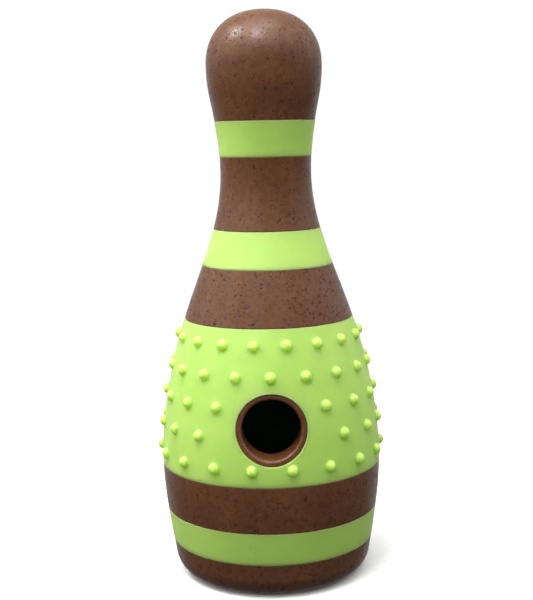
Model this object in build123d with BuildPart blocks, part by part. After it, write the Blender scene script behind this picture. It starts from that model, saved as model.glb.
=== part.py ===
from build123d import *
import math
import os

# A treat-dispensing chew toy shaped like a stubby bowling pin. Hard shells of wood-filled nylon are
# stacked with spigot joints, and a soft green ring sits in a groove over each joint. The pin stands
# on the plane z = 0 around the Z axis, and its treat port faces -Y. All sizes are in millimetres.

# Outline: (radius, height) points on the side, then the four control points of the domed top.
SIDE = [
    (30.0, 0.0),
    (32.05, 11.2),
    (34.55, 30.7),
    (34.35, 45.7),
    (31.95, 62.2),
    (28.45, 76.2),
    (23.15, 91.7),
    (17.6, 107.2),
    (14.65, 120.2),
    (14.35, 133.2),
    (16.5, 148.2),
    (17.9, 160.7),
]
SIDE_TANGENTS = [(0.25, 1.0), (0.0, 1.0)]
HEIGHT = 177.0
HEAD_R, HEAD_Z = SIDE[-1]
DOME = [(HEAD_R, HEAD_Z), (HEAD_R, 167.8), (13.5, HEIGHT), (0.0, HEIGHT)]
REACH = 40.0  # more than any radius of the pin

# Heights where each soft ring starts and ends.
BASE_BAND = (11.2, 21.5)
SLEEVE = (36.0, 82.1)
SHOULDER_BAND = (98.8, 110.0)
NECK_BAND = (132.3, 143.2)

# Soft rings: depth of the grooves they sit in, and how far they stand proud of the hard shells.
BAND_DEPTH = 2.2
SLEEVE_DEPTH = 2.5
PROUD = 0.05
EDGE_ROUND = 0.2  # on every visible edge where a shell meets a soft ring

# Hard shells: joint height, spigot radii (outside, inside) and the height of each spigot's top.
BASE_JOINT_Z = 16.4
BASE_SPIGOT_R = (29.0, 26.5)
BASE_SPIGOT_TOP = 21.2
DRUM_TOP = 75.2
PLUG_R = 22.5
NECK_JOINT_Z = 104.4
NECK_SPIGOT_R = (12.6, 10.6)
NECK_SPIGOT_TOP = 109.5
HEAD_JOINT_Z = 137.7
HEAD_SPIGOT_R = (10.2, 7.6)
HEAD_SPIGOT_TOP = 142.8

# Base cup.
BASE_FILLET = 7.5
BASE_FLOOR = 4.5
RIB_WIDTH = 3.0
RECESS_R = 16.0
RECESS_DEPTH = 1.2
RECESS_FILLET = 1.0

# Treat chamber: a straight wall that leans in above the knee, lined by a soft cup.
CHAMBER_KNEE_Z = 41.7
CHAMBER_TOP = 69.2
DRUM_BORE_R = 29.0
DRUM_BORE_TOP_R = 24.8
LINER_WALL = 2.0
LINER_FLOOR = 2.2
WEB = 3.5

# Treat port.
PORT_Z = 53.0
PORT_R = 8.8
COLLAR_R = 10.65
COLLAR_SUNK = 0.3
COLLAR_LIP = 0.8
FLANGE_R = 13.0
FLANGE_WALL = 1.2

# Hollow cores of the shoulder, neck and head: (radius, height) points.
SHOULDER_CORE = [(20.5, 79.2), (14.4, 99.2), (NECK_SPIGOT_R[1], NECK_JOINT_Z)]
NECK_CORE = [(NECK_SPIGOT_R[1], NECK_SPIGOT_TOP), (HEAD_SPIGOT_R[1], 121.2)]
HEAD_CORE_R = (8.8, 8.0)
HEAD_CORE_Z = (HEAD_SPIGOT_TOP, 162.2)

# Nubs on the belly sleeve.
NUB_ROWS = 5
NUBS_PER_ROW = 18
NUB_LOW_Z = 41.1
NUB_PITCH = 9.04
NUB_R = 1.75
NUB_HEIGHT = 1.6
NUB_BALL_R = (NUB_R**2 + NUB_HEIGHT**2) / (2 * NUB_HEIGHT)
PORT_CLEARANCE = 0.6


def outline_half(inset=0.0):
    """Half section of the whole pin below the head's widest height, moved in towards the axis."""
    with BuildSketch(Plane.XZ) as half:
        with BuildLine():
            side = Spline([(radius - inset, z) for radius, z in SIDE], tangents=SIDE_TANGENTS)
            Polyline(side @ 1, (0, HEAD_Z), (0, 0), side @ 0)
        make_face()
    return half.sketch


def slab(z_low, z_high, inset=0.0):
    """The part of the half section between two heights."""
    with BuildSketch(Plane.XZ) as cut:
        add(outline_half(inset))
        with Locations((0, z_low)):
            Rectangle(REACH, z_high - z_low, align=Align.MIN, mode=Mode.INTERSECT)
    return cut.sketch


def ring_box(r_low, r_high, z_low, z_high):
    """A plain rectangle in the half section, for spigots, sockets and bores."""
    with BuildSketch(Plane.XZ) as box:
        with Locations((r_low, z_low)):
            Rectangle(r_high - r_low, z_high - z_low, align=Align.MIN)
    return box.sketch


def core(points):
    """The half section of a hollow whose wall runs through points, from the lowest up."""
    with BuildSketch(Plane.XZ) as hollow:
        with BuildLine():
            Polyline((0, points[0][1]), *points, (0, points[-1][1]), close=True)
        make_face()
    return hollow.sketch


def chamber(wall_inset):
    """The half section inside the drum's bore, or inside the liner with its wall as the inset."""
    return core([
        (DRUM_BORE_R - wall_inset, BASE_JOINT_Z),
        (DRUM_BORE_R - wall_inset, CHAMBER_KNEE_Z),
        (DRUM_BORE_TOP_R - wall_inset, CHAMBER_TOP),
    ])


def soft_ring(heights, depth):
    """A plain soft ring: the groove's section, standing a little proud of the shells."""
    with BuildSketch(Plane.XZ) as ring:
        add(slab(*heights, inset=-PROUD))
        add(slab(*heights, inset=depth), mode=Mode.SUBTRACT)
    return ring.sketch


def outer_edges(piece, *heights):
    """The outermost circular edge of a piece at each of these heights."""
    found = []
    for z in heights:
        at_height = piece.edges().filter_by_position(Axis.Z, z - EDGE_ROUND / 2, z + EDGE_ROUND / 2)
        found.append(at_height.sort_by(SortBy.LENGTH)[-1])
    return found


def side_at(z):
    """Point and outward normal (radius, height) of the pin's side at height z."""
    with BuildLine() as profile:
        Spline(SIDE, tangents=SIDE_TANGENTS)
    curve = profile.line
    low, high = 0.0, 1.0
    for _ in range(30):
        middle = (low + high) / 2
        if (curve @ middle).Y < z:
            low = middle
        else:
            high = middle
    along = curve % middle
    return (curve @ middle), Vector(along.Y, -along.X)


def nub_planes():
    """Planes that stand on the nubs' ball centres and face outward: staggered rows, clear of the port."""
    step = 2 * math.pi / NUBS_PER_ROW
    planes = []
    for row in range(NUB_ROWS):
        point, normal = side_at(NUB_LOW_Z + row * NUB_PITCH)
        centre = point + normal * (PROUD + NUB_HEIGHT - NUB_BALL_R)
        stagger = step / 2 if row % 2 == 0 else 0.0
        for index in range(NUBS_PER_ROW):
            angle = stagger + index * step
            east, south = math.sin(angle), -math.cos(angle)
            x, y = centre.X * east, centre.X * south
            from_port = math.hypot(x, centre.Y - PORT_Z)
            if y > 0 or from_port > COLLAR_R + NUB_R + PORT_CLEARANCE:
                outward = (normal.X * east, normal.X * south, normal.Y)
                planes.append(Plane(origin=(x, y, centre.Y), z_dir=outward))
    return planes


# Shapes that several pieces share: the port's outside, the flange around it and the port's bore.
with BuildPart() as port_core:
    with BuildSketch(Plane.XZ):
        with Locations((0, PORT_Z)):
            Circle(COLLAR_R)
    extrude(amount=REACH)

with BuildPart() as port_bore:
    with BuildSketch(Plane.XZ):
        with Locations((0, PORT_Z)):
            Circle(PORT_R)
    extrude(amount=REACH)

with BuildPart() as flange_space:
    with BuildSketch(Plane.XZ) as flange_wall:
        add(slab(SLEEVE[0], DRUM_TOP, inset=SLEEVE_DEPTH))
        add(slab(SLEEVE[0], DRUM_TOP, inset=SLEEVE_DEPTH + FLANGE_WALL), mode=Mode.SUBTRACT)
    revolve(axis=Axis.Z)
    with BuildSketch(Plane.XZ):
        with Locations((0, PORT_Z)):
            Circle(FLANGE_R)
    extrude(amount=REACH, mode=Mode.INTERSECT)

with BuildPart() as collar_reach:
    with BuildSketch(Plane.XZ) as collar_wall:
        add(slab(SLEEVE[0], DRUM_TOP, inset=COLLAR_SUNK))
        add(chamber(LINER_WALL), mode=Mode.SUBTRACT)
    revolve(axis=Axis.Z)

# Base cup: the foot, a ribbed hollow floor and the spigot that the drum sits on.
with BuildPart() as base_cup:
    with BuildSketch(Plane.XZ):
        add(slab(0, BASE_BAND[0]))
        add(slab(BASE_BAND[0], BASE_JOINT_Z, inset=BAND_DEPTH))
        add(ring_box(BASE_SPIGOT_R[1], BASE_SPIGOT_R[0], BASE_BAND[0], BASE_SPIGOT_TOP))
        add(ring_box(0, BASE_SPIGOT_R[1], BASE_FLOOR, BASE_SPIGOT_TOP), mode=Mode.SUBTRACT)
    revolve(axis=Axis.Z)
    fillet(outer_edges(base_cup, 0), radius=BASE_FILLET)
    fillet(outer_edges(base_cup, BASE_BAND[0]), radius=EDGE_ROUND)
    with BuildSketch(Plane.XY.offset(BASE_FLOOR)) as ribs:
        Rectangle(2 * BASE_SPIGOT_R[1], RIB_WIDTH)
        Rectangle(RIB_WIDTH, 2 * BASE_SPIGOT_R[1])
        Circle(BASE_SPIGOT_R[1], mode=Mode.INTERSECT)
    extrude(amount=BASE_SPIGOT_TOP - BASE_FLOOR)
    with BuildSketch(Plane.XY):
        Circle(RECESS_R)
    extrude(amount=RECESS_DEPTH, mode=Mode.SUBTRACT)
    recess_edge = base_cup.edges().filter_by(GeomType.CIRCLE).filter_by_position(Axis.Z, 0, RECESS_DEPTH / 2)
    fillet(recess_edge.sort_by(SortBy.RADIUS)[0], radius=RECESS_FILLET)
base_cup.part.label = "base_cup"

# Belly drum: the visible waist, the wall behind the sleeve and the bore for the liner.
with BuildPart() as belly_drum:
    with BuildSketch(Plane.XZ):
        add(slab(BASE_JOINT_Z, BASE_BAND[1], inset=BAND_DEPTH))
        add(slab(BASE_BAND[1], SLEEVE[0]))
        add(slab(SLEEVE[0], DRUM_TOP, inset=SLEEVE_DEPTH))
        add(chamber(0), mode=Mode.SUBTRACT)
        add(ring_box(0, PLUG_R, CHAMBER_TOP, DRUM_TOP), mode=Mode.SUBTRACT)
    revolve(axis=Axis.Z)
    fillet(outer_edges(belly_drum, BASE_BAND[1], SLEEVE[0]), radius=EDGE_ROUND)
    add(port_core.part, mode=Mode.SUBTRACT)
    add(flange_space.part, mode=Mode.SUBTRACT)
belly_drum.part.label = "belly_drum"

# Chamber liner: a soft open cup inside the drum, resting on the base cup's spigot and ribs.
with BuildPart() as chamber_liner:
    with BuildSketch(Plane.XZ):
        add(chamber(0))
        add(ring_box(0, DRUM_BORE_R, BASE_JOINT_Z, BASE_SPIGOT_TOP), mode=Mode.SUBTRACT)
        add(chamber(LINER_WALL), mode=Mode.SUBTRACT)
        add(ring_box(0, DRUM_BORE_R, BASE_SPIGOT_TOP, BASE_SPIGOT_TOP + LINER_FLOOR))
    revolve(axis=Axis.Z)
    add(port_core.part, mode=Mode.SUBTRACT)
chamber_liner.part.label = "chamber_liner"

# Port collar: a hard bush through sleeve, drum and liner, held by its flange under the sleeve.
with BuildPart() as port_collar:
    add(port_core.part)
    add(collar_reach.part, mode=Mode.INTERSECT)
    add(flange_space.part)
    add(port_bore.part, mode=Mode.SUBTRACT)
    face_edges = port_collar.edges().sort_by(Axis.Y)[:2]
    fillet(face_edges.sort_by(SortBy.LENGTH)[0], radius=COLLAR_LIP)
port_collar.part.label = "port_collar"

# Belly sleeve: the soft skin over the drum, with its rows of nubs.
with BuildPart() as belly_sleeve:
    add(soft_ring(SLEEVE, SLEEVE_DEPTH))
    revolve(axis=Axis.Z)
    fillet(outer_edges(belly_sleeve, *SLEEVE), radius=EDGE_ROUND)
    with Locations(*nub_planes()):
        Sphere(NUB_BALL_R)
    add(port_core.part, mode=Mode.SUBTRACT)
belly_sleeve.part.label = "belly_sleeve"

# Shoulder shell: a skirt and plug on the drum, the web that closes the chamber, the visible cone.
with BuildPart() as shoulder_shell:
    with BuildSketch(Plane.XZ):
        add(slab(DRUM_TOP, SLEEVE[1], inset=SLEEVE_DEPTH))
        add(slab(SLEEVE[1], SHOULDER_BAND[0]))
        add(slab(SHOULDER_BAND[0], NECK_JOINT_Z, inset=BAND_DEPTH))
        add(ring_box(0, NECK_SPIGOT_R[0], NECK_JOINT_Z, NECK_SPIGOT_TOP))
        add(ring_box(0, PLUG_R, CHAMBER_TOP, DRUM_TOP))
        add(core([(SHOULDER_CORE[0][0], CHAMBER_TOP + WEB), *SHOULDER_CORE]), mode=Mode.SUBTRACT)
        add(ring_box(0, NECK_SPIGOT_R[1], NECK_JOINT_Z, NECK_SPIGOT_TOP), mode=Mode.SUBTRACT)
    revolve(axis=Axis.Z)
    fillet(outer_edges(shoulder_shell, SLEEVE[1], SHOULDER_BAND[0]), radius=EDGE_ROUND)
shoulder_shell.part.label = "shoulder_shell"

# Neck shell: sockets onto the shoulder's spigot and carries the spigot for the head.
with BuildPart() as neck_shell:
    with BuildSketch(Plane.XZ):
        add(slab(NECK_JOINT_Z, SHOULDER_BAND[1], inset=BAND_DEPTH))
        add(slab(SHOULDER_BAND[1], NECK_BAND[0]))
        add(slab(NECK_BAND[0], HEAD_JOINT_Z, inset=BAND_DEPTH))
        add(ring_box(0, HEAD_SPIGOT_R[0], HEAD_JOINT_Z, HEAD_SPIGOT_TOP))
        add(ring_box(0, NECK_SPIGOT_R[0], NECK_JOINT_Z, NECK_SPIGOT_TOP), mode=Mode.SUBTRACT)
        add(core([*NECK_CORE, (HEAD_SPIGOT_R[1], HEAD_SPIGOT_TOP)]), mode=Mode.SUBTRACT)
    revolve(axis=Axis.Z)
    fillet(outer_edges(neck_shell, SHOULDER_BAND[1], NECK_BAND[0]), radius=EDGE_ROUND)
neck_shell.part.label = "neck_shell"

# Head shell: the domed top, with a tapered core that ends in a dome.
with BuildPart() as head_shell:
    with BuildSketch(Plane.XZ):
        add(slab(HEAD_JOINT_Z, NECK_BAND[1], inset=BAND_DEPTH))
        add(slab(NECK_BAND[1], HEAD_Z))
        with BuildLine():
            dome = Bezier(*DOME)
            Polyline(dome @ 1, (0, HEAD_Z), dome @ 0)
        make_face()
        add(ring_box(0, HEAD_SPIGOT_R[0], HEAD_JOINT_Z, HEAD_SPIGOT_TOP), mode=Mode.SUBTRACT)
        with BuildLine():
            taper = Line((HEAD_CORE_R[0], HEAD_CORE_Z[0]), (HEAD_CORE_R[1], HEAD_CORE_Z[1]))
            core_top = (0, HEAD_CORE_Z[1] + HEAD_CORE_R[1])
            CenterArc((0, HEAD_CORE_Z[1]), HEAD_CORE_R[1], 0, 90)
            Polyline(core_top, (0, HEAD_CORE_Z[0]), taper @ 0)
        make_face(mode=Mode.SUBTRACT)
    revolve(axis=Axis.Z)
    fillet(outer_edges(head_shell, NECK_BAND[1]), radius=EDGE_ROUND)
head_shell.part.label = "head_shell"

# Plain soft rings over the other three joints.
with BuildPart() as base_band:
    add(soft_ring(BASE_BAND, BAND_DEPTH))
    revolve(axis=Axis.Z)
    fillet(outer_edges(base_band, *BASE_BAND), radius=EDGE_ROUND)
base_band.part.label = "base_band"

with BuildPart() as shoulder_band:
    add(soft_ring(SHOULDER_BAND, BAND_DEPTH))
    revolve(axis=Axis.Z)
    fillet(outer_edges(shoulder_band, *SHOULDER_BAND), radius=EDGE_ROUND)
shoulder_band.part.label = "shoulder_band"

with BuildPart() as neck_band:
    add(soft_ring(NECK_BAND, BAND_DEPTH))
    revolve(axis=Axis.Z)
    fillet(outer_edges(neck_band, *NECK_BAND), radius=EDGE_ROUND)
neck_band.part.label = "neck_band"

os.makedirs("parts", exist_ok=True)
export_step(base_cup.part, "parts/base_cup.step")
export_step(belly_drum.part, "parts/belly_drum.step")
export_step(chamber_liner.part, "parts/chamber_liner.step")
export_step(port_collar.part, "parts/port_collar.step")
export_step(belly_sleeve.part, "parts/belly_sleeve.step")
export_step(shoulder_shell.part, "parts/shoulder_shell.step")
export_step(neck_shell.part, "parts/neck_shell.step")
export_step(head_shell.part, "parts/head_shell.step")
export_step(base_band.part, "parts/base_band.step")
export_step(shoulder_band.part, "parts/shoulder_band.step")
export_step(neck_band.part, "parts/neck_band.step")
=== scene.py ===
import math

import bmesh
import bpy
import numpy as np
from mathutils import Matrix, Vector, geometry, noise


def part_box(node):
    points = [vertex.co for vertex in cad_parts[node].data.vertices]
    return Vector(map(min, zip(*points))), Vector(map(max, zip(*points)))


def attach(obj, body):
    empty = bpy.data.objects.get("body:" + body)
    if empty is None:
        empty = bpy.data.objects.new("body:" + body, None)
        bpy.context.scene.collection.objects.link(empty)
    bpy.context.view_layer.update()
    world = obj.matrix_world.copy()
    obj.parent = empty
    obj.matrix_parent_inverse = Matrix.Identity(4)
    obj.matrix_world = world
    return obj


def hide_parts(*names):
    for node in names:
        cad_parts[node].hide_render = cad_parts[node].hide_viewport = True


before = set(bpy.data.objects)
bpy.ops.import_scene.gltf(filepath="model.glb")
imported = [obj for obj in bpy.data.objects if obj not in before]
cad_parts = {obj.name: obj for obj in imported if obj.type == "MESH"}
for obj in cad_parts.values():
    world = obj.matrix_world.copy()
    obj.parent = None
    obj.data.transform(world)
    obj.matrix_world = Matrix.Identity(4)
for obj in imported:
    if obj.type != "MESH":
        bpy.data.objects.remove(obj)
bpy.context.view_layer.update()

MM = 0.001
WELD = 1e-7  # points closer than this, in metres, become one
SHARP = math.radians(50.0)  # edges with a larger angle than this keep a hard corner

# ---------------------------------------------------------------- outline of the pin

# (radius, height) points of the pin's side, the same design points as the CAD model's.
SIDE = [
    (30.0, 0.0),
    (32.05, 11.2),
    (34.55, 30.7),
    (34.35, 45.7),
    (31.95, 62.2),
    (28.45, 76.2),
    (23.15, 91.7),
    (17.6, 107.2),
    (14.65, 120.2),
    (14.35, 133.2),
    (16.5, 148.2),
    (17.9, 160.7),
]
SIDE_TANGENTS = [(0.25, 1.0), (0.0, 1.0)]  # its directions at the foot and at the dome
SLOPE_STEP = 0.05
PROUD = 0.05  # how far the soft pieces stand out of the side
BAND_DEPTH = 2.2
SLEEVE_DEPTH = 2.5
EDGE_ROUND = 0.26


def spline_through(points, tangents, steps=6000):
    """Dense samples of the smooth cubic through points with unit tangents at its ends."""
    points = np.array(points, float)
    ends = [np.array(t) / np.hypot(*t) for t in tangents]
    knots = np.concatenate([[0.0], np.cumsum(np.hypot(*np.diff(points, axis=0).T))])
    gaps = np.diff(knots)
    count = len(points)
    system = np.zeros((count, count))
    right = np.zeros((count, 2))
    system[0, 0] = system[-1, -1] = 1.0
    right[0], right[-1] = ends
    for i in range(1, count - 1):
        system[i, i - 1] = gaps[i]
        system[i, i] = 2 * (gaps[i - 1] + gaps[i])
        system[i, i + 1] = gaps[i - 1]
        before = (points[i] - points[i - 1]) / gaps[i - 1]
        after = (points[i + 1] - points[i]) / gaps[i]
        right[i] = 3 * (gaps[i] * before + gaps[i - 1] * after)
    slopes = np.linalg.solve(system, right)
    at = np.linspace(0, knots[-1], steps)
    span = np.clip(np.searchsorted(knots, at, side="right") - 1, 0, count - 2)
    gap = gaps[span][:, None]
    t = ((at - knots[span])[:, None]) / gap
    return (
        (2 * t**3 - 3 * t**2 + 1) * points[span]
        + (t**3 - 2 * t**2 + t) * gap * slopes[span]
        + (3 * t**2 - 2 * t**3) * points[span + 1]
        + (t**3 - t**2) * gap * slopes[span + 1]
    )


SIDE_SAMPLES = spline_through(SIDE, SIDE_TANGENTS)


def side_radius(z):
    """Radius of the pin's side at height z."""
    return np.interp(z, SIDE_SAMPLES[:, 1], SIDE_SAMPLES[:, 0])


def side_slope(z):
    """Change of radius with height."""
    return (side_radius(z + SLOPE_STEP) - side_radius(z - SLOPE_STEP)) / (2 * SLOPE_STEP)


def heights_of(node):
    """Lowest and highest point of a CAD node, in millimetres."""
    low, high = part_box(node)
    return low.z / MM, high.z / MM


def on_side(angle, z, out=0.0):
    """A point on the pin's side. Angle 0 faces the front, -Y, and grows towards +X."""
    slope = side_slope(z)
    scale = 1 / math.hypot(1.0, slope)
    radius = side_radius(z) + out * scale
    height = z - out * slope * scale
    return (radius * math.sin(angle), -radius * math.cos(angle), height)


# ---------------------------------------------------------------- mesh helpers


def finish_mesh(name, points, faces):
    """A smooth-shaded object from points in millimetres, with its hidden sharp corners kept sharp."""
    mesh = bpy.data.meshes.new(name)
    mesh.from_pydata([(x * MM, y * MM, z * MM) for x, y, z in points], [], faces)
    mesh.validate()
    work = bmesh.new()
    work.from_mesh(mesh)
    bmesh.ops.remove_doubles(work, verts=work.verts, dist=WELD)
    bmesh.ops.recalc_face_normals(work, faces=work.faces)
    for face in work.faces:
        face.smooth = True
    for edge in work.edges:
        if edge.is_manifold and edge.calc_face_angle() > SHARP:
            edge.smooth = False
    work.to_mesh(mesh)
    work.free()
    piece = bpy.data.objects.new(name, mesh)
    bpy.context.scene.collection.objects.link(piece)
    return piece


def corner_curve(before, corner, after, round_by, steps=6):
    """Points of a small rounding where two runs of a section meet."""
    before, corner, after = (np.array(p, float) for p in (before, corner, after))
    start = corner + (before - corner) / np.linalg.norm(before - corner) * round_by
    end = corner + (after - corner) / np.linalg.norm(after - corner) * round_by
    curve = []
    for step in range(steps + 1):
        t = step / steps
        curve.append(tuple((1 - t) ** 2 * start + 2 * t * (1 - t) * corner + t**2 * end))
    return curve


def lathe_points(section, around):
    """Points of a closed section (radius, height) turned around Z, ring after ring."""
    points = []
    for radius, height in section:
        for step in range(around):
            angle = 2 * math.pi * step / around
            points.append((radius * math.sin(angle), -radius * math.cos(angle), height))
    return points


def lathe_faces(rings, around):
    """Quads between neighbouring rings of a closed section, the last ring and the first included."""
    faces = []
    for ring in range(rings):
        first, second = ring * around, ((ring + 1) % rings) * around
        for step in range(around):
            ahead = (step + 1) % around
            faces.append((first + step, first + ahead, second + ahead, second + step))
    return faces


# ---------------------------------------------------------------- plain soft rings

AROUND = 288
RING_STEP = 0.8  # about how far apart the rows of a ring's outside are
GROOVE_ROWS = 8
# How far a ring's radius wavers, as a share of it, and how fast around and up the pin.
BAND_SWAY = 0.02 / 30
SWAY_AROUND = 0.22
SWAY_UP = 0.1


def band_section(low, high):
    """Closed section of a soft ring: a softly rounded outside and the floor of its groove."""
    inner = [(side_radius(z) - BAND_DEPTH, z) for z in np.linspace(high, low, GROOVE_ROWS)]
    outer_low = (side_radius(low) + PROUD, low)
    outer_high = (side_radius(high) + PROUD, high)
    rows = int((high - low) / RING_STEP)
    side = [(side_radius(z) + PROUD, z) for z in np.linspace(low, high, rows + 1)]
    lower = corner_curve(inner[-1], outer_low, side[1], EDGE_ROUND)
    upper = corner_curve(side[-2], outer_high, inner[0], EDGE_ROUND)
    return lower + side[1:-1] + upper + inner


def make_band(node):
    """One of the three plain soft rings, over its CAD node, with a radius that wavers very slightly."""
    low, high = heights_of(node)
    section = band_section(low, high)
    points = lathe_points(section, AROUND)
    wavered = []
    for x, y, z in points:
        sway = BAND_SWAY * noise.noise(Vector((x * SWAY_AROUND, y * SWAY_AROUND, z * SWAY_UP + low)))
        wavered.append((x * (1 + sway), y * (1 + sway), z))
    piece = finish_mesh(node + "_soft", wavered, lathe_faces(len(section), AROUND))
    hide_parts(node)
    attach(piece, "root")
    return piece


# ---------------------------------------------------------------- belly sleeve with nubs and port hole

NUB_ROWS = 5
NUBS_PER_ROW = 18
NUB_LOW_Z = 41.1
NUB_PITCH = 9.04
NUB_R = 1.75
NUB_HEIGHT = 1.6
NUB_FILLET = 0.3
NUB_DOME_STEPS = 7
NUB_FILLET_STEPS = 4
PER_NUB = 28
# A nub is the cap of a ball: the ball's radius, how deep its centre lies under the skin, how far the
# fillet's foot lies from the axis, and the angle at which ball and fillet meet.
NUB_BALL_R = (NUB_R**2 + NUB_HEIGHT**2) / (2 * NUB_HEIGHT)
NUB_SUNK = NUB_BALL_R - NUB_HEIGHT
NUB_FOOT = math.sqrt((NUB_BALL_R + NUB_FILLET) ** 2 - (NUB_FILLET + NUB_SUNK) ** 2)
NUB_MEET = math.atan2(NUB_FOOT, NUB_FILLET + NUB_SUNK)

PORT_Z = 53.0
PORT_R = 8.8
PORT_CLEARANCE = 0.6  # between the collar and the nearest nub
PER_PORT = 168
COLLAR_R = 10.65

BELLY_R = 33.0  # about the sleeve's radius, where it is unrolled
SEAM_ANGLE = math.radians(175.0)  # where it is cut to unroll it, at the back
GRID = 1.05
ROW_SHARE = 0.87  # rows of an even triangle grid lie this share of its spacing apart
CLEAR = 0.45 * GRID  # between the grid's points and those around a nub or the port
SNAP = 1e-5  # unrolled points closer than this become one

# The thin lip around the port hole, and the shallow dimple outside it: distances past the hole's edge.
LIP_HEIGHT = 0.1
LIP_MIDDLE = 0.22
LIP_HALF = 0.24
LIP_END = LIP_MIDDLE + 1.2 * LIP_HALF  # rings inside this are whole, further out they skip the nubs
NUBS_START = LIP_MIDDLE + 1.4 * LIP_HALF  # points of a nub are left out inside this
LIP_UNEVEN = 0.55
LIP_WAVES = (3.1, 0.4)  # how fast the lip's height changes around the hole, and which noise it takes
DIMPLE_DEPTH = 0.045
DIMPLE_MIDDLE = 0.95
DIMPLE_HALF = 0.45
# Where rings of points run around the port hole.
LIP_RINGS = (2.5, 1.9, 1.5, 1.2, 0.95, 0.75, 0.6, 0.5, 0.46, 0.4, 0.3, 0.2, 0.1, 0.04, 0.0)
LIP_NUB_GAP = 0.2  # the outer rings leave out points closer than this to a nub's foot
# Rows of points on the hole's wall, as shares of the way from the pin's side to the sleeve's inside.
HOLE_SHARES = (0.15, 0.35, 0.65, 1.0)


def nub_centres():
    """(angle, height) of every nub: staggered rows that leave the port clear."""
    step = 2 * math.pi / NUBS_PER_ROW
    centres = []
    for row in range(NUB_ROWS):
        z = NUB_LOW_Z + row * NUB_PITCH
        stagger = step / 2 if row % 2 == 0 else 0.0
        for index in range(NUBS_PER_ROW):
            angle = stagger + index * step
            if angle > SEAM_ANGLE:
                angle -= 2 * math.pi
            x, y, _ = on_side(angle, z)
            if y > 0 or math.hypot(x, z - PORT_Z) > COLLAR_R + NUB_R + PORT_CLEARANCE:
                centres.append((angle, z))
    return centres


def nub_rings():
    """(distance from the nub's axis, height) rings of a domed nub with a soft fillet at its foot."""
    rings = []
    for step in range(1, NUB_DOME_STEPS + 1):
        angle = NUB_MEET * step / NUB_DOME_STEPS
        rings.append((NUB_BALL_R * math.sin(angle), NUB_BALL_R * math.cos(angle) - NUB_SUNK))
    for step in range(1, NUB_FILLET_STEPS + 1):
        angle = NUB_MEET * (1 - step / NUB_FILLET_STEPS)
        rings.append((NUB_FOOT - NUB_FILLET * math.sin(angle), NUB_FILLET * (1 - math.cos(angle))))
    return rings


def past_port(angle, z):
    """How far a point of the front lies past the edge of the port hole; far away behind."""
    x, y, _ = on_side(angle, z)
    return math.hypot(x, z - PORT_Z) - COLLAR_R if y < 0 else math.inf


def lip_height(past, turn):
    """Height of the sleeve's thin uneven lip around the port, with a shallow dimple outside it."""
    if past > LIP_RINGS[0]:
        return 0.0
    waves, slice_at = LIP_WAVES
    at = Vector((waves * math.sin(turn), waves * math.cos(turn), slice_at))
    uneven = 1 + LIP_UNEVEN * noise.noise(at)
    bead = math.sqrt(max(0.0, 1 - ((past - LIP_MIDDLE) / LIP_HALF) ** 2))
    dimple = math.exp(-(((past - DIMPLE_MIDDLE) / DIMPLE_HALF) ** 2))
    return LIP_HEIGHT * uneven * bead - DIMPLE_DEPTH * dimple


class SleevePlan:
    """Scattered points of the sleeve's outer skin, unrolled: (angle, height on the pin) and relief."""

    def __init__(self):
        self.spots = []
        self.relief = []
        self.centres = nub_centres()

    def from_nub(self, angle, z):
        """Distance over the skin to the nearest nub's axis."""
        nearest = math.inf
        for nub_angle, nub_z in self.centres:
            if abs(z - nub_z) < 2 * NUB_FOOT:
                turn = (angle - nub_angle + math.pi) % (2 * math.pi) - math.pi
                along = (z - nub_z) * math.hypot(1.0, side_slope(nub_z))
                nearest = min(nearest, math.hypot(turn * side_radius(nub_z), along))
        return nearest

    def add(self, angle, z, height):
        """One point of the skin, a height above the plain sleeve."""
        self.spots.append((angle, z))
        self.relief.append(PROUD + height)

    def add_smooth(self, low, high, columns):
        """Staggered rows where nothing stands out, with a full row along each edge."""
        rows = int(round((high - low) / (GRID * ROW_SHARE)))
        for row in range(rows + 1):
            z = low + (high - low) * row / rows
            edge = row in (0, rows)
            for column in range(columns + 1):
                shift = 0.5 if row % 2 and not edge and 0 < column < columns else 0.0
                angle = SEAM_ANGLE - 2 * math.pi * (columns - column - shift) / columns
                if edge or (
                    past_port(angle, z) > LIP_RINGS[0] + CLEAR
                    and self.from_nub(angle, z) > NUB_FOOT + CLEAR
                ):
                    self.add(angle, z, 0.0)

    def add_nubs(self):
        """The points of every nub, without those that would lie on the port's lip."""
        for nub_angle, nub_z in self.centres:
            radius, stretch = side_radius(nub_z), math.hypot(1.0, side_slope(nub_z))
            self.add(nub_angle, nub_z, NUB_HEIGHT)
            for distance, height in nub_rings():
                for step in range(PER_NUB):
                    turn = 2 * math.pi * step / PER_NUB
                    angle = nub_angle + distance * math.cos(turn) / radius
                    z = nub_z + distance * math.sin(turn) / stretch
                    if past_port(angle, z) > NUBS_START:
                        self.add(angle, z, height)

    def add_lip(self):
        """Rings around the port hole. Gives back the numbers of the points on the hole's edge."""
        for past in LIP_RINGS:
            first = len(self.spots)
            for step in range(PER_PORT):
                turn = 2 * math.pi * step / PER_PORT
                x, z = (COLLAR_R + past) * math.sin(turn), PORT_Z + (COLLAR_R + past) * math.cos(turn)
                angle = math.asin(x / side_radius(z))
                if past < LIP_END or self.from_nub(angle, z) > NUB_FOOT + LIP_NUB_GAP:
                    self.add(angle, z, lip_height(past, turn))
        return list(range(first, len(self.spots)))


def unrolled_triangles(spots, hole_edge):
    """Triangles between unrolled points, without those that would close the port hole."""
    plane = [Vector((angle * BELLY_R, z)) for angle, z in spots]
    triangles = geometry.delaunay_2d_cdt(plane, [], [], 0, SNAP)[2]
    rim = set(hole_edge)
    return [face for face in triangles if not rim.issuperset(face)]


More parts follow.
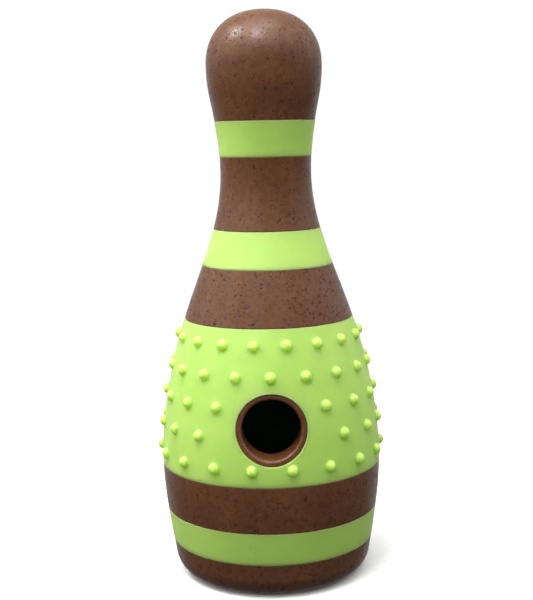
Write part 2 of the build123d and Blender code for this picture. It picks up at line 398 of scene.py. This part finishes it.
def port_ring(depth_share):
    """Ring of points on the port hole's wall, from the pin's side (0) to the sleeve's inside (1)."""
    ring = []
    for step in range(PER_PORT):
        turn = 2 * math.pi * step / PER_PORT
        x, z = COLLAR_R * math.sin(turn), PORT_Z + COLLAR_R * math.cos(turn)
        outer = math.sqrt(side_radius(z) ** 2 - x * x)
        inner = math.sqrt((side_radius(z) - SLEEVE_DEPTH) ** 2 - x * x)
        ring.append((x, -outer + (outer - inner) * depth_share, z))
    return ring


def bridge(faces, first, second, count):
    """Quads between two rings of points that start at two numbers."""
    for step in range(count):
        ahead = (step + 1) % count
        faces.append((first + step, first + ahead, second + ahead, second + step))


def make_sleeve():
    """The soft belly sleeve: one closed skin with domed nubs, a lipped port hole and soft edges."""
    low, high = heights_of("belly_sleeve")
    outer_low, outer_high = low + EDGE_ROUND, high - EDGE_ROUND
    columns = int(round(2 * math.pi * BELLY_R / GRID))
    plan = SleevePlan()
    plan.add_smooth(outer_low, outer_high, columns)
    plan.add_nubs()
    rim = plan.add_lip()
    points = [on_side(angle, z, out) for (angle, z), out in zip(plan.spots, plan.relief)]
    faces = [tuple(face) for face in unrolled_triangles(plan.spots, rim)]

    # The hole's wall, from the lip to the sleeve's inner face.
    ring_start = rim[0]
    for share in HOLE_SHARES:
        bridge(faces, ring_start, len(points), PER_PORT)
        ring_start = len(points)
        points += port_ring(share)

    # The inner face, against the drum.
    inner = []
    rows = int(round((high - low) / (2 * GRID)))
    for row in range(rows + 1):
        z = low + (high - low) * row / rows
        count = columns if row in (0, rows) else columns // 2
        for column in range(count + 1):
            angle = SEAM_ANGLE - 2 * math.pi * (count - column) / count
            if row in (0, rows) or past_port(angle, z) > GRID:
                inner.append((angle, z))
    inner_rim = range(len(inner), len(inner) + PER_PORT)
    inner += [(math.asin(x / (side_radius(z) - SLEEVE_DEPTH)), z) for x, _, z in port_ring(1.0)]
    offset = len(points)
    for angle, z in inner:
        radius = side_radius(z) - SLEEVE_DEPTH
        points.append((radius * math.sin(angle), -radius * math.cos(angle), z))
    for face in unrolled_triangles(inner, inner_rim):
        faces.append(tuple(offset + index for index in reversed(face)))

    # Soft top and bottom edges, from the outer face's edge rows to the inner face's.
    angles = [SEAM_ANGLE - 2 * math.pi * (columns - column) / columns for column in range(columns)]
    for edge, start in ((low, outer_low), (high, outer_high)):
        corner = (side_radius(edge) + PROUD, edge)
        wall = (side_radius(edge) - SLEEVE_DEPTH, edge)
        curve = corner_curve((side_radius(start) + PROUD, start), corner, wall, EDGE_ROUND)[1:]
        curve += [((corner[0] + wall[0]) / 2, edge), wall]
        ring_start = len(points)
        points += [on_side(angle, start, PROUD) for angle in angles]
        for radius, height in curve:
            bridge(faces, ring_start, len(points), columns)
            ring_start = len(points)
            for angle in angles:
                points.append((radius * math.sin(angle), -radius * math.cos(angle), height))

    piece = finish_mesh("belly_sleeve_soft", points, faces)
    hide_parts("belly_sleeve")
    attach(piece, "root")
    return piece


# ---------------------------------------------------------------- port collar

COLLAR_AROUND = 192
# The liner's inner wall: its radius at these heights, the knee and the chamber's top.
LINER_Z = (41.7, 69.2)
LINER_R = (27.0, 22.8)
COLLAR_RUN = 0.9  # how far the bush runs past that wall into the chamber
# The flange under the sleeve: its radius, and how deep its inner and outer face lie under the side.
FLANGE_R = 13.0
FLANGE_DEPTHS = (3.7, 2.5)
# The face's outer edge: (how far inside the collar's radius, depth under the pin's side).
COLLAR_EDGE = (
    (0.0, 1.2),
    (0.0, 0.75),
    (0.03, 0.55),
    (0.12, 0.4),
    (0.3, 0.31),
    (0.5, 0.29),
    (0.65, 0.3),
)
FACE_DEPTH = 0.31
# The rounding between the face and the bore, and the depths of the bore's first rows.
BORE_LIP_R = 1.0
BORE_LIP_STEPS = 10
BORE_DEPTHS = (2.0, 3.0)
# The bush's end: (radius, how far short of the end), from the bore around to the outside.
BUSH_END = ((PORT_R, 2.5), (PORT_R, 0.2), (PORT_R + 0.06, 0.06), (PORT_R + 0.2, 0.0), (COLLAR_R, 0.0))


def liner_radius(z):
    """Radius of the liner's inner wall at height z."""
    return np.interp(z, LINER_Z, LINER_R)


def collar_ring(radius, wall, depth):
    """Ring of points about the port's axis, at a depth inside a wall whose radius wall(z) gives."""
    ring = []
    for step in range(COLLAR_AROUND):
        turn = 2 * math.pi * step / COLLAR_AROUND
        x, z = radius * math.sin(turn), PORT_Z + radius * math.cos(turn)
        ring.append((x, depth - math.sqrt(wall(z) ** 2 - x * x), z))
    return ring


def make_collar():
    """The hard bush of the treat port: a face that follows the belly, a round inner edge and a bore."""
    # (radius, depth under the pin's side) from the flange, over the face, into the bore.
    section = [(FLANGE_R, depth) for depth in FLANGE_DEPTHS] + [(COLLAR_R, FLANGE_DEPTHS[-1])]
    section += [(COLLAR_R - drop, depth) for drop, depth in COLLAR_EDGE]
    for step in range(BORE_LIP_STEPS + 1):
        angle = math.pi / 2 * step / BORE_LIP_STEPS
        radius = PORT_R + BORE_LIP_R * (1 - math.sin(angle))
        section.append((radius, FACE_DEPTH + BORE_LIP_R * (1 - math.cos(angle))))
    section += [(PORT_R, depth) for depth in BORE_DEPTHS]
    points = []
    for radius, depth in section:
        points += collar_ring(radius, side_radius, depth)
    # The bore runs on past the liner's inner wall, and the outside comes back to the flange.
    for radius, short in BUSH_END:
        points += collar_ring(radius, liner_radius, COLLAR_RUN - short)
    faces = lathe_faces(len(section) + len(BUSH_END), COLLAR_AROUND)
    piece = finish_mesh("port_collar_hard", points, faces)
    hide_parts("port_collar")
    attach(piece, "root")
    return piece


# ---------------------------------------------------------------- materials

SMALLEST_FLECK = 0.45  # as a share of the radius; the largest is that much over it
# Brown nylon as screen colours: two tones of the base, its mottle and the colour of each kind of fleck.
NYLON = ((91, 56, 33), (101, 65, 40))
NYLON_MOTTLE = (78, 46, 25)
DEEP_FLECK = (58, 22, 9)
BROWN_FLECK = (60, 16, 3)
RED_FLECK = (68, 18, 3)
FIBRE_FLECK = (56, 16, 4)
BLACK_FLECK = (26, 8, 5)
PALE_FLECK = (180, 150, 125)
# Green rubber: two tones of the base, its fine pattern and its rare specks.
RUBBER = ((169, 210, 96), (174, 215, 102))
RUBBER_FINE = (162, 206, 87)
RUBBER_SPECK = (58, 70, 30)
# The floor's two tones, and where it starts and ends to thin out, from the pin's axis.
FLOOR = ((236, 236, 235), (240, 240, 239))
FLOOR_FADE = (150.0, 460.0)


class Nodes:
    """Small helper that adds nodes to a material and links them."""

    def __init__(self, name):
        self.material = bpy.data.materials.new(name)
        self.material.use_nodes = True
        self.tree = self.material.node_tree
        self.shader = self.tree.nodes["Principled BSDF"]
        place = self.add("ShaderNodeTexCoord").outputs["Object"]
        scale = self.add("ShaderNodeVectorMath", operation="SCALE")
        scale.inputs["Scale"].default_value = 1 / MM
        self.link(place, scale.inputs[0])
        self.place = scale.outputs[0]

    def add(self, kind, **settings):
        """A new node with these settings."""
        node = self.tree.nodes.new(kind)
        for key, value in settings.items():
            setattr(node, key, value)
        return node

    def link(self, source, target):
        self.tree.links.new(source, target)

    def put(self, value, target):
        """Links a socket to the target, or sets the target to a plain value."""
        if hasattr(value, "is_linked"):
            self.link(value, target)
        else:
            target.default_value = value

    def math(self, operation, *values):
        node = self.add("ShaderNodeMath", operation=operation)
        for value, target in zip(values, node.inputs):
            self.put(value, target)
        return node.outputs[0]

    def mix(self, share, first, second):
        node = self.add("ShaderNodeMix", data_type="RGBA")
        self.put(share, node.inputs["Factor"])
        self.put(first, node.inputs[6])
        self.put(second, node.inputs[7])
        return node.outputs[2]

    def paint(self, base, mask, strength, colour):
        """The base colour with another laid over it where the mask is."""
        return self.mix(self.math("MULTIPLY", mask, strength), base, srgb(*colour))

    def rough_skin(self, height, distance):
        """Small bumps of this height pattern, a full one standing the distance in millimetres."""
        bump = self.add("ShaderNodeBump")
        bump.inputs["Strength"].default_value = 1.0
        bump.inputs["Distance"].default_value = distance * MM
        self.link(height, bump.inputs["Height"])
        self.link(bump.outputs["Normal"], self.shader.inputs["Normal"])

    def noise(self, size, detail=2.0, roughness=0.5, place=None):
        """Noise whose features are about size millimetres."""
        node = self.add("ShaderNodeTexNoise")
        node.inputs["Scale"].default_value = 1 / size
        node.inputs["Detail"].default_value = detail
        node.inputs["Roughness"].default_value = roughness
        self.link(place or self.place, node.inputs["Vector"])
        return node

    def cloud(self, size, offset, detail=2.0, roughness=0.5):
        """Noise values around one half, of a pattern that starts at the offset."""
        return self.noise(size, detail, roughness, self.shifted(offset)).outputs["Fac"]

    def ramp(self, value, low, high, out_low=0.0, out_high=1.0):
        """A value's way from low to high, smoothly turned into out_low to out_high."""
        node = self.add("ShaderNodeMapRange", interpolation_type="SMOOTHSTEP")
        self.put(value, node.inputs["Value"])
        self.put(low, node.inputs["From Min"])
        self.put(high, node.inputs["From Max"])
        node.inputs["To Min"].default_value = out_low
        node.inputs["To Max"].default_value = out_high
        return node.outputs[0]

    def shifted(self, offset, warp_size=0.0, warp=0.0, stretch=(1.0, 1.0, 1.0)):
        """The position in millimetres, stretched, moved by offset and bent by a little noise."""
        mapping = self.add("ShaderNodeMapping")
        mapping.inputs["Location"].default_value = offset
        mapping.inputs["Scale"].default_value = stretch
        self.link(self.place, mapping.inputs["Vector"])
        if not warp:
            return mapping.outputs[0]
        bend = self.noise(warp_size, detail=1.0, place=mapping.outputs[0])
        centre = self.add("ShaderNodeVectorMath", operation="SUBTRACT")
        centre.inputs[1].default_value = (0.5, 0.5, 0.5)
        self.link(bend.outputs["Color"], centre.inputs[0])
        scale = self.add("ShaderNodeVectorMath", operation="SCALE")
        scale.inputs["Scale"].default_value = warp
        self.link(centre.outputs[0], scale.inputs[0])
        total = self.add("ShaderNodeVectorMath", operation="ADD")
        self.link(mapping.outputs[0], total.inputs[0])
        self.link(scale.outputs[0], total.inputs[1])
        return total.outputs[0]

    def flecks(self, offset, spacing, radius, share, soft, stretch=(1.0, 1.0, 1.0)):
        """Mask of scattered irregular flecks: a share of the cells holds one, each of its own size."""
        place = self.shifted(offset, warp_size=1.6 * radius, warp=2 * radius, stretch=stretch)
        cells = self.add("ShaderNodeTexVoronoi")
        cells.inputs["Scale"].default_value = 1 / spacing
        self.link(place, cells.inputs["Vector"])
        parts = self.add("ShaderNodeSeparateColor")
        self.link(cells.outputs["Color"], parts.inputs["Color"])
        full = radius / spacing
        reach = self.math("MULTIPLY_ADD", parts.outputs[1], full, SMALLEST_FLECK * full)
        inner = self.math("MULTIPLY", reach, 1 - soft)
        near = self.ramp(cells.outputs["Distance"], inner, reach, 1.0, 0.0)
        held = self.math("LESS_THAN", parts.outputs[0], share)
        return self.math("MULTIPLY", near, held)


def srgb(red, green, blue):
    """Linear colour of an 8-bit screen colour."""
    linear = []
    for value in (red, green, blue):
        value /= 255
        linear.append(value / 12.92 if value <= 0.04045 else ((value + 0.055) / 1.055) ** 2.4)
    return (*linear, 1.0)


def wood_nylon(name, flecked):
    """Brown wood-fibre-filled nylon, semi-gloss: mottled, with dark, reddish and a few pale flecks.

    flecked makes the flecks of wood more numerous and stronger.
    """
    n = Nodes(name)
    clouds = n.noise(11.0, detail=3.0).outputs["Fac"]
    mottle = n.cloud(1.7, (31, 7, 5), detail=4.0, roughness=0.62)
    gather = n.ramp(n.cloud(5.5, (23, 44, 5)), 0.34, 0.58, 0.45, 1.0)
    deep = n.flecks((3, 11, 40), spacing=2.8, radius=1.0, share=0.65, soft=0.95)
    brown = n.flecks((5, 23, 2), spacing=1.05, radius=0.33, share=0.75 * flecked, soft=0.4)
    red = n.flecks((17, 2, 9), spacing=1.65, radius=0.5, share=0.8 * flecked, soft=0.5)
    fibre = n.flecks(
        (41, 3, 19), spacing=2.3, radius=0.42, share=0.6 * flecked, soft=0.45, stretch=(1.0, 1.0, 0.5)
    )
    black = n.flecks((9, 37, 27), spacing=2.8, radius=0.46, share=0.4 * flecked, soft=0.45)
    pale = n.flecks((13, 5, 33), spacing=4.2, radius=0.16, share=0.25, soft=0.4)

    strength = 0.62 + 0.3 * flecked
    base = n.mix(n.ramp(clouds, 0.3, 0.7), srgb(*NYLON[0]), srgb(*NYLON[1]))
    base = n.mix(n.ramp(mottle, 0.32, 0.68, 0.0, 0.6), base, srgb(*NYLON_MOTTLE))
    base = n.paint(base, deep, 0.5, DEEP_FLECK)
    base = n.paint(base, n.math("MULTIPLY", brown, gather), strength, BROWN_FLECK)
    base = n.paint(base, n.math("MULTIPLY", red, gather), strength, RED_FLECK)
    base = n.paint(base, fibre, strength, FIBRE_FLECK)
    base = n.paint(base, black, strength, BLACK_FLECK)
    base = n.paint(base, pale, 0.6, PALE_FLECK)
    n.link(base, n.shader.inputs["Base Color"])

    # Flecks are duller than the nylon and lie a little deeper.
    specks = n.math("MULTIPLY", n.math("MAXIMUM", brown, red), gather)
    marks = n.math("MAXIMUM", n.math("MAXIMUM", specks, fibre), black)
    rough = n.ramp(n.cloud(2.4, (2, 51, 8), detail=3.0), 0.25, 0.75, 0.26, 0.35)
    n.link(n.math("MULTIPLY_ADD", marks, 0.35, rough), n.shader.inputs["Roughness"])
    peel = n.math("MULTIPLY", n.cloud(0.9, (7, 7, 61)), 0.4)
    grain = n.math("MULTIPLY", n.cloud(0.45, (1, 9, 77), roughness=0.6), 0.6)
    height = n.math("SUBTRACT", n.math("ADD", peel, grain), n.math("MULTIPLY", marks, 0.25))
    n.rough_skin(height, 0.075)
    n.shader.inputs["IOR"].default_value = 1.5
    n.shader.inputs["Specular IOR Level"].default_value = 0.3
    return n.material


def green_rubber(name, painted_shade=0):
    """Bright green thermoplastic rubber: satin, translucent, faint clouds and rare dark specks.

    darker is taken off the red and the green of its screen colours: painted shade, which stands in for
    the dim inside of the chamber.
    """
    n = Nodes(name)
    tones = [srgb(red - painted_shade, green - painted_shade, blue) for red, green, blue in (*RUBBER, RUBBER_FINE)]
    clouds = n.noise(14.0).outputs["Fac"]
    fine = n.cloud(0.9, (4, 15, 6), detail=3.0)
    dust = n.flecks((8, 2, 21), spacing=7.5, radius=0.2, share=0.2, soft=0.5)
    base = n.mix(n.ramp(clouds, 0.3, 0.7), tones[0], tones[1])
    base = n.mix(n.ramp(fine, 0.3, 0.75, 0.0, 0.22), base, tones[2])
    base = n.paint(base, dust, 0.8, RUBBER_SPECK)
    n.link(base, n.shader.inputs["Base Color"])
    rough = n.ramp(n.cloud(3.0, (12, 1, 8), detail=3.0), 0.25, 0.75, 0.42, 0.54)
    n.link(rough, n.shader.inputs["Roughness"])
    skin = n.math("MULTIPLY", n.cloud(0.35, (6, 19, 3), detail=3.0, roughness=0.6), 0.25)
    swell = n.math("MULTIPLY", n.cloud(5.0, (16, 9, 3), detail=1.0), 1.6)
    n.rough_skin(n.math("ADD", skin, swell), 0.02)
    n.shader.inputs["IOR"].default_value = 1.48
    n.shader.inputs["Subsurface Weight"].default_value = 1.0
    n.shader.inputs["Subsurface Radius"].default_value = (1.0, 0.9, 0.4)
    n.shader.inputs["Subsurface Scale"].default_value = 8.0 * MM
    return n.material


def pale_floor():
    """Matt off-white studio floor with a faint paper grain that thins out into the white backdrop."""
    n = Nodes("studio_floor")
    grain = n.noise(1.5, detail=3.0).outputs["Fac"]
    base = n.mix(n.ramp(grain, 0.3, 0.7), srgb(*FLOOR[0]), srgb(*FLOOR[1]))
    n.link(base, n.shader.inputs["Base Color"])
    n.shader.inputs["Roughness"].default_value = 0.8
    reach = n.add("ShaderNodeVectorMath", operation="LENGTH")
    n.link(n.place, reach.inputs[0])
    fade = n.ramp(reach.outputs["Value"], FLOOR_FADE[0], FLOOR_FADE[1], 1.0, 0.0)
    n.link(fade, n.shader.inputs["Alpha"])
    return n.material


def give(piece, material):
    """Puts one material on every slot of a piece."""
    if not piece.material_slots:
        piece.data.materials.append(material)
    for used in piece.material_slots:
        used.material = material


# ---------------------------------------------------------------- the pieces

brown = wood_nylon("wood_nylon_moulded", 0.75)
flecked_brown = wood_nylon("wood_nylon_flecked", 1.15)
green = green_rubber("green_rubber_moulded")
# The liner's green is darkened by painted shade, which stands in for the dim inside of the chamber
# behind the port.
shaded_liner_green = green_rubber("green_rubber_liner_painted_shade", painted_shade=85)

for node in ("head_shell", "neck_shell", "belly_drum", "base_cup"):
    give(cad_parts[node], brown)
give(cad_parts["shoulder_shell"], flecked_brown)
give(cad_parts["chamber_liner"], shaded_liner_green)
for node in ("neck_band", "shoulder_band", "base_band"):
    give(make_band(node), green)
give(make_sleeve(), green)
give(make_collar(), brown)

# ---------------------------------------------------------------- floor, light and camera

FLOOR_Z = -0.02
LIT_CENTRE = Vector((0.0, 0.0, 0.09))
# Name, azimuth, elevation, distance, size and power of each soft light.
LIGHTS = (
    ("spot_left", 273, 54, 0.70, 0.18, 2.3),
    ("spot_middle", 340, 61, 0.70, 0.18, 1.9),
    ("top_middle", 0, 88, 0.90, 0.60, 1.90),
    ("top_left", 315, 76, 0.90, 0.60, 1.80),
    ("high_front", 0, 62, 0.90, 0.90, 4.0),
    ("high_front_right", 45, 62, 0.90, 0.90, 1.87),
    ("high_front_left", 315, 62, 0.90, 0.90, 0.71),
    ("low_front", 0, 33, 0.90, 0.90, 0.37),
    ("low_front_right", 45, 33, 0.90, 0.90, 0.98),
    ("low_right", 90, 33, 0.90, 0.90, 2.03),
    ("low_left", 270, 33, 0.90, 0.90, 3.23),
    ("low_front_left", 315, 33, 0.90, 0.90, 2.66),
)
# How bright the world is in front and at the backdrop, which lies behind and above the pin, and how
# far a direction leans to the backdrop where it starts and where it is full.
WORLD_FRONT = 0.171
WORLD_BACK = 0.66
BACKDROP_AIM = (0.0, 0.75, 0.65)
BACKDROP_EDGE = (0.0, 0.6)
# The camera: how far from the pin's axis and how high, in metres, and its turns in radians.
CAMERA_DISTANCE = 0.360
CAMERA_HEIGHT = 0.1392
CAMERA_ASIDE = math.radians(-0.4)
CAMERA_TILT = 0.1439
CAMERA_ROLL = -0.0196
CAMERA_LENS = 68.8
CAMERA_SHIFT = -0.00295


def make_floor():
    """A round floor at the pin's foot."""
    radius, rings, around = 500.0, 24, 96
    points = [(0.0, 0.0, FLOOR_Z)]
    for ring in range(1, rings + 1):
        reach = radius * (ring / rings) ** 2
        for step in range(around):
            angle = 2 * math.pi * step / around
            points.append((reach * math.cos(angle), reach * math.sin(angle), FLOOR_Z))
    faces = [(0, 1 + step, 1 + (step + 1) % around) for step in range(around)]
    for ring in range(rings - 1):
        first, second = 1 + ring * around, 1 + (ring + 1) * around
        for step in range(around):
            ahead = (step + 1) % around
            faces.append((first + step, second + step, second + ahead, first + ahead))
    floor = finish_mesh("studio_floor", points, faces)
    give(floor, pale_floor())
    floor.visible_diffuse = False
    floor.visible_glossy = False


def area_light(name, azimuth, elevation, distance, size, power):
    """A soft square light aimed at the pin. Azimuth 0 is the front, 90 the right; lengths in metres."""
    data = bpy.data.lights.new(name, "AREA")
    data.shape = "SQUARE"
    data.size = size
    data.energy = power
    light = bpy.data.objects.new(name, data)
    turn, lift = math.radians(azimuth), math.radians(elevation)
    away = Vector((math.sin(turn) * math.cos(lift), -math.cos(turn) * math.cos(lift), math.sin(lift)))
    light.location = LIT_CENTRE + away * distance
    light.rotation_euler = away.to_track_quat("Z", "Y").to_euler()
    bpy.context.scene.collection.objects.link(light)


def set_world():
    """Even weak light from the front and a white backdrop behind, which the camera sees plain white."""
    world = bpy.data.worlds.new("studio")
    world.use_nodes = True
    tree = world.node_tree
    tree.nodes["Background"].inputs["Color"].default_value = (1.0, 1.0, 1.0, 1.0)
    place = tree.nodes.new("ShaderNodeTexCoord")
    backward = tree.nodes.new("ShaderNodeVectorMath")
    backward.operation = "DOT_PRODUCT"
    backward.inputs[1].default_value = BACKDROP_AIM
    tree.links.new(place.outputs["Generated"], backward.inputs[0])
    spread = tree.nodes.new("ShaderNodeMapRange")
    spread.interpolation_type = "SMOOTHSTEP"
    spread.inputs["From Min"].default_value = BACKDROP_EDGE[0]
    spread.inputs["From Max"].default_value = BACKDROP_EDGE[1]
    spread.inputs["To Min"].default_value = WORLD_FRONT
    spread.inputs["To Max"].default_value = WORLD_BACK
    tree.links.new(backward.outputs["Value"], spread.inputs["Value"])
    path = tree.nodes.new("ShaderNodeLightPath")
    level = tree.nodes.new("ShaderNodeMapRange")
    tree.links.new(spread.outputs["Result"], level.inputs["To Min"])
    level.inputs["To Max"].default_value = 1.0
    tree.links.new(path.outputs["Is Camera Ray"], level.inputs["Value"])
    tree.links.new(level.outputs["Result"], tree.nodes["Background"].inputs["Strength"])
    bpy.context.scene.world = world


def make_camera():
    """The camera in front of the pin, a little above its middle and looking slightly down."""
    data = bpy.data.cameras.new("camera")
    data.sensor_fit = "VERTICAL"
    data.sensor_height = 36.0
    data.lens = CAMERA_LENS
    data.shift_x = CAMERA_SHIFT
    data.clip_start = 0.01
    camera = bpy.data.objects.new("camera", data)
    look = Matrix.Rotation(math.pi / 2 - CAMERA_TILT, 4, "X") @ Matrix.Rotation(CAMERA_ROLL, 4, "Z")
    stand = Matrix.Translation((0, -CAMERA_DISTANCE, CAMERA_HEIGHT))
    camera.matrix_world = Matrix.Rotation(CAMERA_ASIDE, 4, "Z") @ stand @ look
    bpy.context.scene.collection.objects.link(camera)
    bpy.context.scene.camera = camera


make_floor()
for light in LIGHTS:
    area_light(*light)
set_world()
make_camera()
bpy.context.scene.view_settings.view_transform = "Standard"
